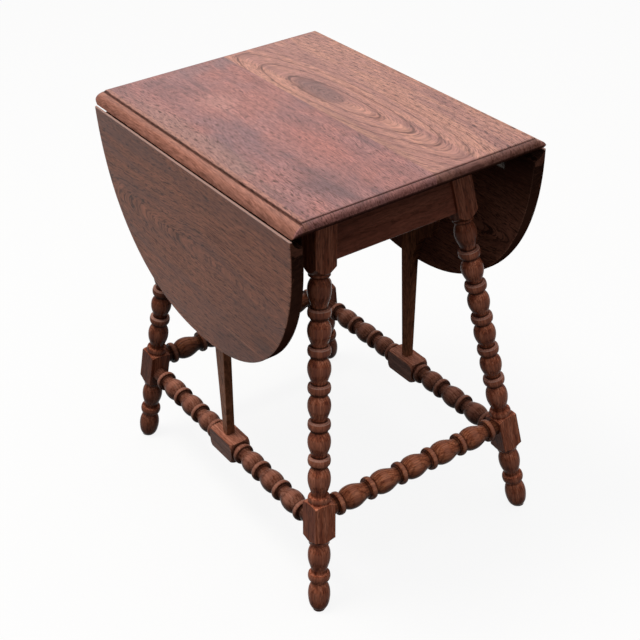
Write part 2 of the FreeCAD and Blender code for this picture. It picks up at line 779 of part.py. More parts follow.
# Left leaf drawn level, then turned down about the hinge axis to where it hangs
def make_leaf():
    cove = ovolo_radius + rule_clearance
    drop = math.sqrt(cove ** 2 - lip_gap ** 2)
    side = cove * math.sqrt(0.5)
    y = -leaf_half_length - 5
    x = -flat_half_width
    lip_top = V(x - lip_gap, y, table_height)
    lip = V(x - lip_gap, y, hinge_z + drop)
    middle = V(x - side, y, hinge_z + side)
    out = V(x - cove, y, hinge_z)
    low = V(x - cove, y, underside)
    far_low = V(x - leaf_reach - 5, y, underside)
    far_top = V(x - leaf_reach - 5, y, table_height)
    edges = [
        Part.makeLine(lip_top, lip),
        Part.Arc(lip, middle, out).toShape(),
        Part.makeLine(out, low),
        Part.makeLine(low, far_low),
        Part.makeLine(far_low, far_top),
        Part.makeLine(far_top, lip_top),
    ]
    board = Part.Face(Part.Wire(edges)).extrude(V(0, 2 * leaf_half_length + 10, 0))
    steps = 28
    points = []
    for number in range(steps + 1):
        turn = math.pi * number / steps
        along = math.cos(turn)
        along = math.copysign(abs(along) ** (2 / leaf_roundness), along)
        reach = abs(math.sin(turn)) ** (2 / leaf_roundness)
        if number == steps:
            reach = 0.0
        points.append(V(x - leaf_reach * reach, leaf_half_length * along, underside))
    outline = Part.Wire([curve_through(points), Part.makeLine(points[-1], points[0])])
    shape = Part.Face(outline).extrude(V(0, 0, board_thickness))
    rims = [edge for edge in shape.Edges if edge.Length > 2.2 * leaf_half_length]
    leaf = board.common(shape.makeFillet(leaf_edge_round, rims))
    for screw in hinge_screws(-hinge_y, True, screw_clearance) + hinge_screws(hinge_y, True, screw_clearance):
        leaf = leaf.cut(screw)
    return leaf


def hang(shape):
    turned_down = shape.copy()
    turned_down.rotate(V(-flat_half_width, 0, hinge_z), V(0, 1, 0), -90 - hang_tilt)
    return turned_down


leaf = hang(make_leaf())
moving_front = hang(moving_front)
moving_rear = hang(moving_rear)
moving_screws = [hang(screw) for screw in moving_screws]


def save(name, shape):
    shape.exportStep("parts/" + name + ".step")


def group(shapes):
    return Part.makeCompound(shapes)


def mirror_all(shapes):
    return [mirror_x(shape) for shape in shapes]


save("top_board_left", top_left)
save("top_board_right", top_right)
save("end_rail_front", end_rail)
save("end_rail_rear", mirror_y(end_rail))
save("side_rail_left", side_rail)
save("side_rail_right", mirror_x(side_rail))
save("leg_front_left", leg)
save("leg_front_right", mirror_x(leg))
save("leg_rear_left", mirror_y(leg))
save("leg_rear_right", mirror_x(mirror_y(leg)))
save("end_stretcher_front", end_stretcher)
save("end_stretcher_rear", mirror_y(end_stretcher))
save("side_stretcher_left", side_stretcher)
save("side_stretcher_right", mirror_x(side_stretcher))
save("corner_block_front_left", corner)
save("corner_block_front_right", mirror_x(corner))
save("corner_block_rear_left", mirror_y(corner))
save("corner_block_rear_right", mirror_x(mirror_y(corner)))
one_screw = top_screw(0)
top_screws = [one_screw, mirror_x(one_screw), mirror_y(one_screw), mirror_x(mirror_y(one_screw))]
save("top_screws", group(top_screws))
save("hinge_fixed_plate_left_front", fixed_front)
save("hinge_fixed_plate_left_rear", fixed_rear)
save("hinge_fixed_plate_right_front", mirror_x(fixed_front))
save("hinge_fixed_plate_right_rear", mirror_x(fixed_rear))
save("hinge_pins_left", group([pin_front, pin_rear]))
save("hinge_pins_right", group([mirror_x(pin_front), mirror_x(pin_rear)]))
save("hinge_fixed_screws_left", group(fixed_screws))
save("hinge_fixed_screws_right", group(mirror_all(fixed_screws)))
save("leaf_left", leaf)
save("leaf_right", mirror_x(leaf))
save("hinge_moving_plate_left_front", moving_front)
save("hinge_moving_plate_left_rear", moving_rear)
save("hinge_moving_plate_right_front", mirror_x(moving_front))
save("hinge_moving_plate_right_rear", mirror_x(moving_rear))
save("hinge_moving_screws_left", group(moving_screws))
save("hinge_moving_screws_right", group(mirror_all(moving_screws)))
save("swing_bracket_left", bracket)
save("swing_bracket_right", mirror_x(bracket))
save("bracket_pins_left", bracket_pins)
save("bracket_pins_right", mirror_x(bracket_pins))
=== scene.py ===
import math
import bmesh
import bpy
import mathutils
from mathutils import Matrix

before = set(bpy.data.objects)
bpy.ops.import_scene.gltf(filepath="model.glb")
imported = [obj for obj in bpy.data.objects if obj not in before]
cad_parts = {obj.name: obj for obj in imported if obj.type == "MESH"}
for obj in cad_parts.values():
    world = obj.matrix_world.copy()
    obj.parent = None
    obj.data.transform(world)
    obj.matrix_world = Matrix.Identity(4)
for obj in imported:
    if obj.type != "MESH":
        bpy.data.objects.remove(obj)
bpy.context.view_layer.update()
scene = bpy.context.scene
scene.view_settings.view_transform = "Standard"
print("frame loaded:", len(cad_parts), "nodes")

# the photograph's viewpoint
cameraSet = {"place": (-0.90007, -1.37763, 1.33816), "turn": (57.1558, 2.127, -34.6118),
             "lens": 74.236, "sensor": 36.0}
cameraData = bpy.data.cameras.new("photoCamera")
cameraData.lens = cameraSet["lens"]
cameraData.sensor_width = cameraSet["sensor"]
cameraData.sensor_fit = "HORIZONTAL"
camera = bpy.data.objects.new("photoCamera", cameraData)
camera.location = cameraSet["place"]
camera.rotation_euler = [math.radians(a) for a in cameraSet["turn"]]
scene.collection.objects.link(camera)
scene.camera = camera
print("camera set")


# sRGB hex to linear
def toLinear(hexText):
    parts = [int(hexText[i:i + 2], 16) / 255 for i in (1, 3, 5)]
    return [p / 12.92 if p <= 0.04045 else ((p + 0.055) / 1.055) ** 2.4 for p in parts] + [1.0]


# one node with its settings, ramp stops and input values or links
def addNode(tree, kind, inputs=None, stops=None, **settings):
    node = tree.nodes.new("ShaderNode" + kind)
    for name, value in settings.items():
        setattr(node, name, value)
    if stops:
        ramp = node.color_ramp
        while len(ramp.elements) < len(stops):
            ramp.elements.new(1.0)
        for element, (place, colour) in zip(ramp.elements, stops):
            element.position = place
            element.color = toLinear(colour) if isinstance(colour, str) else (colour, colour, colour, 1)
    for key, value in (inputs or {}).items():
        if isinstance(value, bpy.types.NodeSocket):
            tree.links.new(value, node.inputs[key])
        else:
            node.inputs[key].default_value = toLinear(value) if isinstance(value, str) else value
    return next((o for o in node.outputs if o.enabled), None)


def newMaterial(name):
    material = bpy.data.materials.new(name)
    material.use_nodes = True
    tree = material.node_tree
    tree.nodes.clear()
    shader = addNode(tree, "BsdfPrincipled").node
    addNode(tree, "OutputMaterial", {"Surface": shader.outputs["BSDF"]})
    return material, tree, shader


toneIn, paintIn = 6, 7  # a Mix node's two colour sockets, whose names its number sockets have too
smooth = {"interpolation_type": "SMOOTHSTEP"}
white = (1, 1, 1, 1)

# studio: a pale floor, a soft sky that is strongest overhead, one broad lamp high on the left,
# one small weak lamp low at the front that draws the gloss on the turnings
studioSet = {"floorSize": 30.0, "floorPaint": "#fdfdfc", "floorBounce": "#37322e", "floorLift": 0.88,
             "floorRough": 0.9, "floorShine": 0.1, "overhead": 0.88, "rear": 0.06}
lampSet = [{"name": "softLamp", "place": (-0.75, 0.4, 2.85), "size": 0.95, "power": 30.5, "tint": "#fff9f2"},
           {"name": "frontLamp", "place": (-0.5, -2.7, 1.0), "size": 0.12, "power": 5.0, "tint": "#fff6ec"}]
lampAim = mathutils.Vector((0, 0, 0.35))  # the middle of the table


# 1 for the rays that show the background: those of the camera, and those off metal or through glass
def seenRays(tree):
    rays = addNode(tree, "LightPath").node.outputs
    seen = addNode(tree, "Math", {0: rays["Is Camera Ray"], 1: rays["Is Glossy Ray"]}, operation="MAXIMUM")
    return addNode(tree, "Math", {0: seen, 1: rays["Is Transmission Ray"]}, operation="MAXIMUM")


world = bpy.data.worlds.new("studio")
scene.world = world
world.use_nodes = True
tree = world.node_tree
tree.nodes.clear()
heading = addNode(tree, "TexCoord").node.outputs["Generated"]
heading = addNode(tree, "SeparateXYZ", {0: heading}).node.outputs
glow = addNode(tree, "Math", {0: heading["Z"], 1: studioSet["overhead"]}, operation="MULTIPLY")
glow = addNode(tree, "Math", {0: heading["Y"], 1: studioSet["rear"], 2: glow},
               operation="MULTIPLY_ADD", use_clamp=True)
sky = addNode(tree, "Background", {"Color": white, "Strength": glow})
backdrop = addNode(tree, "Background", {"Color": white, "Strength": 1.0})
both = addNode(tree, "MixShader", {0: seenRays(tree), 1: sky, 2: backdrop})
addNode(tree, "OutputWorld", {"Surface": both})

for lampLook in lampSet:
    lampData = bpy.data.lights.new(lampLook["name"], "AREA")
    lampData.shape = "DISK"
    lampData.size = lampLook["size"]
    lampData.energy = lampLook["power"]
    lampData.color = toLinear(lampLook["tint"])[:3]
    lamp = bpy.data.objects.new(lampLook["name"], lampData)
    lamp.location = lampLook["place"]
    lamp.rotation_euler = (lampAim - lamp.location).to_track_quat("-Z", "Y").to_euler()
    scene.collection.objects.link(lamp)

floorMesh = bmesh.new()
bmesh.ops.create_grid(floorMesh, x_segments=1, y_segments=1, size=studioSet["floorSize"] / 2)
floorData = bpy.data.meshes.new("studioFloor")
floorMesh.to_mesh(floorData)
floorMesh.free()
floor = bpy.data.objects.new("studioFloor", floorData)
scene.collection.objects.link(floor)
# white to the eye, with the table's soft shadow left on it
floorPaint, tree, shader = newMaterial("matt floor paint")
shader.inputs["Roughness"].default_value = studioSet["floorRough"]
shader.inputs["Specular IOR Level"].default_value = studioSet["floorShine"]
seen = seenRays(tree)
paint = addNode(tree, "Mix", {"Factor": seen, toneIn: studioSet["floorBounce"],
                              paintIn: studioSet["floorPaint"]}, data_type="RGBA")
tree.links.new(paint, shader.inputs["Base Color"])
lift = addNode(tree, "Math", {0: seen, 1: studioSet["floorLift"]}, operation="MULTIPLY")
glow = addNode(tree, "Emission", {"Color": white, "Strength": 1.0})
mixed = addNode(tree, "MixShader", {0: lift, 1: shader.outputs["BSDF"], 2: glow})
tree.links.new(mixed, tree.nodes["Material Output"].inputs["Surface"])
floorData.materials.append(floorPaint)
print("studio lit")

# what all planed boards share; cells are noise cells per metre across, along and through the board,
# sizes are in metres, and spans are where a pattern's share begins and is full
noiseMiddle = 0.5
shellacIor = 1.5
boardGrain = {
    "wanderCells": (11, 4, 11),  # fibres sway over 90 mm across and 250 mm along
    "tremorCells": (70, 22, 70),  # and shake over 14 mm across and 45 mm along
    "streakCells": (44, 5, 44),  # broad streaks 23 mm wide and 200 mm long
    "cloudCells": (14, 9, 14),  # blotches 70 mm wide and 110 mm long
    "fineSize": (0.0016, 0.022, 0.005),  # fine streaks 1.6 mm wide and 22 mm long
    "poreWidth": 0.0010, "poreDeep": 0.003,  # 0.2 mm wide in the wood, drawn 1 mm wide so that they show
    "poreSunk": 0.0003,
    "lineStops": [(0.0, 0.30), (0.06, 0.08), (0.55, 0.0), (0.84, 0.12), (0.93, 1.0), (1.0, 0.32)],
    "crowdStops": [(0.0, 1.0), (0.35, 0.7), (0.70, 0.45), (0.92, 1.0)],
    "lineBreak": {"From Min": 0.34, "From Max": 0.56, "To Min": 0.7},
    "cloudSpan": {"From Min": 0.42, "From Max": 0.66},
    "fineSpan": {"From Min": 0.32, "From Max": 0.68},
    "poreSpan": {"From Min": 0.525, "From Max": 0.565},
    "middleSpan": {"From Min": 0.08, "From Max": 0.15},  # from the middle of the top toward its long edges
    "rimSpan": {"From Min": 0.181, "From Max": 0.184},  # from the flat of the top onto its moulded edge
    "glossSpan": {"From Min": 0.3, "From Max": 0.7}, "smoother": 0.05, "rougher": 0.06,
    "dullFade": 0.003, "dullRough": 0.45, "sheenRise": (0.0015, 0.0065)}
# edges and inner faces of hanging boards, by how squarely a face looks sideways, or by height in metres
edgeGrain = {
    "sawnSpan": {"From Min": 0.70, "From Max": 0.35},
    "arris": (0.50, 0.66, 0.92, 0.985),
    "polishSpan": {"From Min": 0.40, "From Max": 0.95},
    "insideShadeSpan": {"From Min": 0.47, "From Max": 0.57}, "insideShadeRise": 2.3}


# share of a band that runs along the board's edges: dirt or old finish in a quirk, wear, painted shade and
# painted highlights
def edgeBand(tree, whole, band):
    side = addNode(tree, "Math", {0: whole[band["axis"]]}, operation="ABSOLUTE")
    off = addNode(tree, "Math", {0: side, 1: band["at"]}, operation="SUBTRACT")
    off = addNode(tree, "Math", {0: off}, operation="ABSOLUTE")
    share = addNode(tree, "MapRange", {"Value": off, "From Min": band["half"], "To Max": band["share"],
                                       "From Max": band["half"] * band["core"]}, **smooth)
    low = addNode(tree, "Math", {0: whole["Z"], 1: band["below"]}, operation="LESS_THAN")
    share = addNode(tree, "Math", {0: share, 1: low}, operation="MULTIPLY")
    limitAxis, limit = band["limit"]
    other = addNode(tree, "Math", {0: whole[limitAxis]}, operation="ABSOLUTE")
    inside = addNode(tree, "Math", {0: other, 1: limit}, operation="LESS_THAN")
    return addNode(tree, "Math", {0: share, 1: inside}, operation="MULTIPLY")


# Planed black walnut under old shellac: brown with pink and grey streaks, fine dark pores along the grain,
# growth lines that run straight or close into a long eye, satin gloss
# turn brings the grain to local Y and the board's width to local X; all lengths in metres
def planedWalnut(name, look):
    material, tree, shader = newMaterial(name)
    source = addNode(tree, "TexCoord").node.outputs
    whole = addNode(tree, "SeparateXYZ", {0: source["Object"]}).node.outputs
    turn = [math.radians(a) for a in look["turn"]]
    turned = addNode(tree, "Mapping", {"Vector": source["Object"], "Rotation": turn})
    place = addNode(tree, "Mapping", {"Vector": turned, "Location": [-c for c in look["centre"]]})
    split = addNode(tree, "SeparateXYZ", {0: place}).node.outputs
    # slow wander of the fibres, then a small tremor
    slow = addNode(tree, "Mapping", {"Vector": place, "Scale": boardGrain["wanderCells"]})
    wander = addNode(tree, "TexNoise", {"Vector": slow, "Scale": 1.0, "Detail": 2.0})
    quick = addNode(tree, "Mapping", {"Vector": place, "Scale": boardGrain["tremorCells"]})
    tremor = addNode(tree, "TexNoise", {"Vector": quick, "Scale": 1.0, "Detail": 2.0})
    sway = addNode(tree, "Math", {0: wander, 1: noiseMiddle}, operation="SUBTRACT")
    sway = addNode(tree, "Math", {0: sway, 1: look["wander"]}, operation="MULTIPLY")
    shake = addNode(tree, "Math", {0: tremor, 1: noiseMiddle}, operation="SUBTRACT")
    shake = addNode(tree, "Math", {0: shake, 1: look["tremor"]}, operation="MULTIPLY")
    across = addNode(tree, "Math", {0: split["Y"], 1: look["slant"], 2: split["X"]}, operation="MULTIPLY_ADD")
    across = addNode(tree, "Math", {0: across, 1: sway}, operation="ADD")
    across = addNode(tree, "Math", {0: across, 1: shake}, operation="ADD")
    # growth rings cut by the face: long closed eyes round the centre, near straight away from it
    along = addNode(tree, "Math", {0: split["Y"], 1: look["eyeRatio"], 2: sway}, operation="MULTIPLY_ADD")
    deep = addNode(tree, "Math", {0: split["Z"], 1: look["pithDepth"]}, operation="ADD")
    field = addNode(tree, "CombineXYZ", {"X": across, "Y": along, "Z": deep})
    radius = addNode(tree, "VectorMath", {0: field}, operation="LENGTH")
    rings = addNode(tree, "Math", {0: radius, 1: look["ring"]}, operation="DIVIDE")
    rings = addNode(tree, "Math", {0: rings, 1: look["ringCrowd"]}, operation="POWER")
    phase = addNode(tree, "Math", {0: rings}, operation="FRACT")
    line = addNode(tree, "ValToRGB", {"Fac": phase}, stops=boardGrain["lineStops"])
    near, far = look["lineFade"]
    fade = addNode(tree, "MapRange", {"Value": rings, "From Min": near, "From Max": far,
                                      "To Min": 1.0, "To Max": look["lineFar"]})
    broken = addNode(tree, "MapRange", {"Value": tremor, **boardGrain["lineBreak"]})
    line = addNode(tree, "Math", {0: line, 1: fade}, operation="MULTIPLY")
    line = addNode(tree, "Math", {0: line, 1: broken}, operation="MULTIPLY")
    # broad streaks, then blotches of tone
    broad = addNode(tree, "Mapping", {"Vector": place, "Scale": boardGrain["streakCells"]})
    broad = addNode(tree, "TexNoise", {"Vector": broad, "Scale": 1.0, "Detail": 4.0, "Distortion": 0.6})
    tone = addNode(tree, "ValToRGB", {"Fac": broad}, stops=look["tones"])
    cloud = addNode(tree, "Mapping", {"Vector": place, "Scale": boardGrain["cloudCells"]})
    cloud = addNode(tree, "TexNoise", {"Vector": cloud, "Scale": 1.0, "Detail": 3.0, "Distortion": 0.8})
    share = addNode(tree, "MapRange", {"Value": cloud, "To Max": look["cloud"], **boardGrain["cloudSpan"]})
    tone = addNode(tree, "Mix", {"Factor": share, toneIn: tone, paintIn: look["cloudTone"]}, data_type="RGBA")
    # patches of figure, of painted reflection and of painted shadow, each a soft oval with an edge that the
    # blotches break
    ragged = addNode(tree, "Math", {0: cloud, 1: noiseMiddle}, operation="SUBTRACT")
    for patch in look["patches"]:
        spot = addNode(tree, "VectorMath", {0: turned, 1: patch["at"]}, operation="SUBTRACT")
        spot = addNode(tree, "VectorMath", {0: spot, 1: [1 / s for s in patch["size"]]}, operation="MULTIPLY")
        off = addNode(tree, "VectorMath", {0: spot}, operation="LENGTH")
        off = addNode(tree, "Math", {0: ragged, 1: patch["ragged"], 2: off}, operation="MULTIPLY_ADD")
        share = addNode(tree, "MapRange", {"Value": off, "From Min": 1.0, "From Max": patch["core"],
                                           "To Max": patch["share"]}, **smooth)
        tone = addNode(tree, "Mix", {"Factor": share, toneIn: tone, paintIn: patch["tone"]}, data_type="RGBA")
    # wear, dirt and painted shade in bands along the edges of the top
    for wearDirtShadeBand in look["wearDirtAndShadeBands"]:
        share = edgeBand(tree, whole, wearDirtShadeBand)
        tone = addNode(tree, "Mix", {"Factor": share, toneIn: tone, paintIn: wearDirtShadeBand["tone"]}, data_type="RGBA")
    edge = look["edge"]
    if edge:  # sawn edges drink more stain, and the rounded arris between edge and face gets a painted highlight
        facing = addNode(tree, "SeparateXYZ", {0: source["Normal"]}).node.outputs
        flat = addNode(tree, "Math", {0: facing["X"]}, operation="ABSOLUTE")
        share = addNode(tree, "MapRange", {"Value": flat, "To Max": edge["share"], **edgeGrain["sawnSpan"]},
                        **smooth)
        tone = addNode(tree, "Mix", {"Factor": share, toneIn: tone, paintIn: edge["tone"]}, data_type="RGBA")
        arrisHighlightStops = list(zip(edgeGrain["arris"], (0.0, edge["arrisHighlightShare"], edge["arrisHighlightShare"], 0.0)))
        share = addNode(tree, "ValToRGB", {"Fac": flat}, stops=arrisHighlightStops)
        tone = addNode(tree, "Mix", {"Factor": share, toneIn: tone, paintIn: edge["arrisHighlightTone"]},
                       data_type="RGBA")
        # only the faces that look away from the frame are polished
        inward = addNode(tree, "Math", {0: facing["X"], 1: whole["X"]}, operation="MULTIPLY")
        inward = addNode(tree, "Math", {0: inward, 1: 0.0}, operation="LESS_THAN")
        outward = addNode(tree, "Math", {0: 1.0, 1: inward}, operation="SUBTRACT")
        sheen = addNode(tree, "MapRange", {"Value": flat, "To Max": look["shine"], **edgeGrain["polishSpan"]})
        sheen = addNode(tree, "Math", {0: sheen, 1: outward}, operation="MULTIPLY")
        tree.links.new(sheen, shader.inputs["Specular IOR Level"])
        if edge["inside"]:  # the others get painted shade, darkest close under the top
            depth = addNode(tree, "MapRange", {"Value": whole["Z"], "To Min": edge["inside"],
                                               "To Max": edge["inside"] * edgeGrain["insideShadeRise"],
                                               **edgeGrain["insideShadeSpan"]})
            share = addNode(tree, "Math", {0: inward, 1: depth}, operation="MULTIPLY")
            tone = addNode(tree, "Mix", {"Factor": share, toneIn: tone, paintIn: edge["insideShadeTone"]},
                           data_type="RGBA")
    share = addNode(tree, "Math", {0: line, 1: look["lineDepth"]}, operation="MULTIPLY")
    tone = addNode(tree, "Mix", {"Factor": share, toneIn: tone, paintIn: look["lineTone"]}, data_type="RGBA")
    # fine streaks, lighter and darker, along the growth rings
    fibre = addNode(tree, "CombineXYZ", {"X": radius, "Y": split["Y"], "Z": split["Z"]})
    streak = addNode(tree, "Mapping", {"Vector": fibre, "Scale": [1 / s for s in boardGrain["fineSize"]]})
    streak = addNode(tree, "TexNoise", {"Vector": streak, "Scale": 1.0, "Detail": 3.0, "Roughness": 0.7})
    shade = addNode(tree, "MapRange", {"Value": streak, "To Min": 1 - look["streak"],
                                       "To Max": 1 + look["streak"], **boardGrain["fineSpan"]})
    tone = addNode(tree, "VectorMath", {0: tone, "Scale": shade}, operation="SCALE")
    # open pores, thickest along the growth lines and toward the long edges of the top,
    # where the boards are cut across straight grain
    poreSize = (boardGrain["poreWidth"], look["poreLength"], boardGrain["poreDeep"])
    pores = addNode(tree, "Mapping", {"Vector": fibre, "Scale": [1 / s for s in poreSize]})
    pores = addNode(tree, "TexNoise", {"Vector": pores, "Scale": 1.0, "Detail": 2.0, "Roughness": 0.6})
    pores = addNode(tree, "MapRange", {"Value": pores, **boardGrain["poreSpan"]})
    crowd = addNode(tree, "ValToRGB", {"Fac": phase}, stops=boardGrain["crowdStops"])
    share = addNode(tree, "Math", {0: pores, 1: look["poreDepth"]}, operation="MULTIPLY")
    share = addNode(tree, "Math", {0: share, 1: crowd}, operation="MULTIPLY")
    side = addNode(tree, "Math", {0: whole["X"]}, operation="ABSOLUTE")
    zone = addNode(tree, "MapRange", {"Value": side, "To Min": look["poreMiddle"],
                                      **boardGrain["middleSpan"]}, **smooth)
    share = addNode(tree, "Math", {0: share, 1: zone}, operation="MULTIPLY")
    rim = addNode(tree, "MapRange", {"Value": side, "To Min": 1.0, "To Max": look["poreRim"],
                                     **boardGrain["rimSpan"]})
    share = addNode(tree, "Math", {0: share, 1: rim}, operation="MULTIPLY")
    tone = addNode(tree, "Mix", {"Factor": share, toneIn: tone, paintIn: look["poreTone"]}, data_type="RGBA")
    # dirt and painted shade in the quirks, painted shade on the ends, a painted highlight on a hanging leaf's
    # lip
    for dirtShadeHighlightBand in look["dirtShadeAndHighlightBands"]:
        share = edgeBand(tree, whole, dirtShadeHighlightBand)
        tone = addNode(tree, "Mix", {"Factor": share, toneIn: tone, paintIn: dirtShadeHighlightBand["tone"]}, data_type="RGBA")
    tree.links.new(tone, shader.inputs["Base Color"])
    gloss = addNode(tree, "MapRange", {"Value": broad, "To Min": look["rough"] - boardGrain["smoother"],
                                       "To Max": look["rough"] + boardGrain["rougher"],
                                       **boardGrain["glossSpan"]})
    dullBelow = look["dullBelow"]
    if dullBelow:  # no polish on the underside, and the lower half of the top's edge has lost it too
        under = addNode(tree, "MapRange", {"Value": whole["Z"], "From Min": dullBelow,
                                           "From Max": dullBelow - boardGrain["dullFade"],
                                           "To Max": boardGrain["dullRough"]})
        gloss = addNode(tree, "Math", {0: gloss, 1: under}, operation="ADD")
        low, high = boardGrain["sheenRise"]
        sheen = addNode(tree, "MapRange", {"Value": whole["Z"], "From Min": dullBelow + low,
                                           "From Max": dullBelow + high, "To Max": look["shine"]})
        tree.links.new(sheen, shader.inputs["Specular IOR Level"])
    elif not edge:
        shader.inputs["Specular IOR Level"].default_value = look["shine"]
    tree.links.new(gloss, shader.inputs["Roughness"])
    relief = addNode(tree, "Math", {0: pores, 1: -1.0}, operation="MULTIPLY")
    bump = addNode(tree, "Bump", {"Strength": look["bump"], "Distance": boardGrain["poreSunk"],
                                  "Height": relief})
    tree.links.new(bump, shader.inputs["Normal"])
    shader.inputs["IOR"].default_value = shellacIor
    return material


# bands along the edges of the top: dirt and painted shade in the quirk beside the moulding, on the long sides
# and the ends
quirk = {"axis": "X", "at": 0.1815, "half": 0.0015, "core": 0.4, "below": 0.6094,
         "limit": ("Y", 0.2500), "share": 0.78, "tone": "#38190f"}
endQuirk = {"axis": "Y", "at": 0.2494, "half": 0.0007, "core": 0.4, "below": 0.6094,
            "limit": ("X", 0.1815), "share": 0.75, "tone": "#331912"}
# the long mouldings rubbed pale; painted shade darkens the moulded ends, more on the right board
ovoloRub = {"axis": "X", "at": 0.1900, "half": 0.0090, "core": 0.8, "below": 0.6080,
            "limit": ("Y", 0.2530), "share": 0.72, "tone": "#ac7660"}
endMouldShade = {"axis": "Y", "at": 0.2530, "half": 0.0036, "core": 0.8, "below": 0.6085,
          "limit": ("X", 0.1840), "share": 0.45, "tone": "#7d5550"}
darkEndMouldShade = dict(endMouldShade, share=0.70, tone="#5c3d37")
# wear on the flat along the long sides, dirt on it at the ends
wornLong = {"axis": "X", "at": 0.1785, "half": 0.0060, "core": 0.4, "below": 1.0,
            "limit": ("Y", 1.0), "share": 0.45, "tone": "#c08468"}
endDirt = {"axis": "Y", "at": 0.2488, "half": 0.0034, "core": 0.3, "below": 1.0,
           "limit": ("X", 0.1810), "share": 0.35, "tone": "#6b4a46"}
# painted shade on the lower half of the moulded ends
endShade = {"axis": "Y", "at": 0.2565, "half": 0.012, "core": 0.9, "below": 0.5992,
            "limit": ("X", 0.19), "share": 0.75, "tone": "#331a14"}
# painted highlight along the upper lip of a hanging leaf
lipHighlight = {"axis": "Z", "at": 0.5896, "half": 0.0016, "core": 0.7, "below": 1.0,
          "limit": ("Y", 1.0), "share": 0.80, "tone": "#c3a196"}
# the right board has a long eye; ring is the gap between growth lines, which ringCrowd closes outward
topRightLook = {
    "turn": (0, 0, 0), "centre": (0.056, 0.025, 0.610), "slant": 0.075, "wander": 0.010, "tremor": 0.0026,
    "eyeRatio": 0.211, "pithDepth": 0.004, "ring": 0.0205, "ringCrowd": 1.385,
    "lineFade": (3.2, 5.5), "lineFar": 0.45, "lineDepth": 0.85, "lineTone": "#5d3227",
    "tones": [(0.30, "#9c6961"), (0.46, "#b88276"), (0.60, "#cb927f"), (0.76, "#aa7569")],
    "cloud": 0.30, "cloudTone": "#b0776d",
    "patches": [
        {"at": (0.052, 0.060, 0.610), "size": (0.024, 0.090, 0.05),
         "ragged": 1.0, "core": 0.3, "share": 0.55, "tone": "#85615f"},
        {"at": (0.053, 0.052, 0.610), "size": (0.019, 0.062, 0.05),
         "ragged": 0.5, "core": 0.84, "share": 0.42, "tone": "#6f4b49"},
        {"at": (0.053, 0.052, 0.610), "size": (0.015, 0.052, 0.05),
         "ragged": 0.5, "core": 0.70, "share": 0.45, "tone": "#8f6a66"},
        {"at": (0.020, -0.06, 0.610), "size": (0.010, 0.20, 0.05),
         "ragged": 1.5, "core": 0.2, "share": 0.35, "tone": "#c99478"}],
    "wearDirtAndShadeBands": [wornLong, endDirt, ovoloRub, darkEndMouldShade], "dirtShadeAndHighlightBands": [quirk, endQuirk, endShade],
    "streak": 0.30, "poreDepth": 1.0, "poreTone": "#54312a", "poreLength": 0.012, "poreMiddle": 0.60,
    "poreRim": 0.35, "edge": None, "dullBelow": 0.6015, "rough": 0.40, "bump": 0.3, "shine": 0.35}
topLeftLook = dict(
    topRightLook, centre=(-0.420, 0.060, 0.610), slant=0.0, wander=0.040, tremor=0.006,
    eyeRatio=0.30, pithDepth=0.05, ring=0.011, ringCrowd=1.0,
    lineFade=(10, 40), lineFar=0.8, lineDepth=0.30, lineTone="#68433d",
    tones=[(0.30, "#7a5758"), (0.46, "#9a6c6b"), (0.60, "#b17d79"), (0.76, "#876060")],
    cloud=0.60, cloudTone="#b8776c",  # plain grain, blotched pink and grey
    wearDirtAndShadeBands=[wornLong, endDirt, ovoloRub, endMouldShade], poreLength=0.011, poreMiddle=0.75, streak=0.34,
    patches=[
        {"at": (-0.079, 0.105, 0.610), "size": (0.050, 0.060, 0.05),
         "ragged": 2.0, "core": 0.1, "share": 0.60, "tone": "#cb9186"},
        {"at": (-0.165, 0.020, 0.610), "size": (0.030, 0.250, 0.05),
         "ragged": 1.0, "core": 0.3, "share": 0.55, "tone": "#a47f73"},
        # painted reflection: a grey-lilac sheen on the board
        {"at": (-0.118, 0.000, 0.610), "size": (0.036, 0.180, 0.05),
         "ragged": 0.9, "core": 0.1, "share": 0.60, "tone": "#876a6f"},
        # painted reflection: a grey-lilac sheen on the board
        {"at": (-0.105, -0.185, 0.610), "size": (0.045, 0.070, 0.05),
         "ragged": 0.9, "core": 0.1, "share": 0.80, "tone": "#765a5d"},
        {"at": (-0.045, -0.090, 0.610), "size": (0.040, 0.120, 0.05),
         "ragged": 1.4, "core": 0.2, "share": 0.60, "tone": "#be786d"},
        # painted reflection: a grey-lilac sheen along the rear edge
        {"at": (-0.020, 0.228, 0.610), "size": (0.110, 0.030, 0.05),
         "ragged": 0.8, "core": 0.2, "share": 0.45, "tone": "#907577"},
        {"at": (-0.074, 0.079, 0.610), "size": (0.018, 0.0022, 0.05),
         "ragged": 0.8, "core": 0.2, "share": 0.70, "tone": "#694443"}])
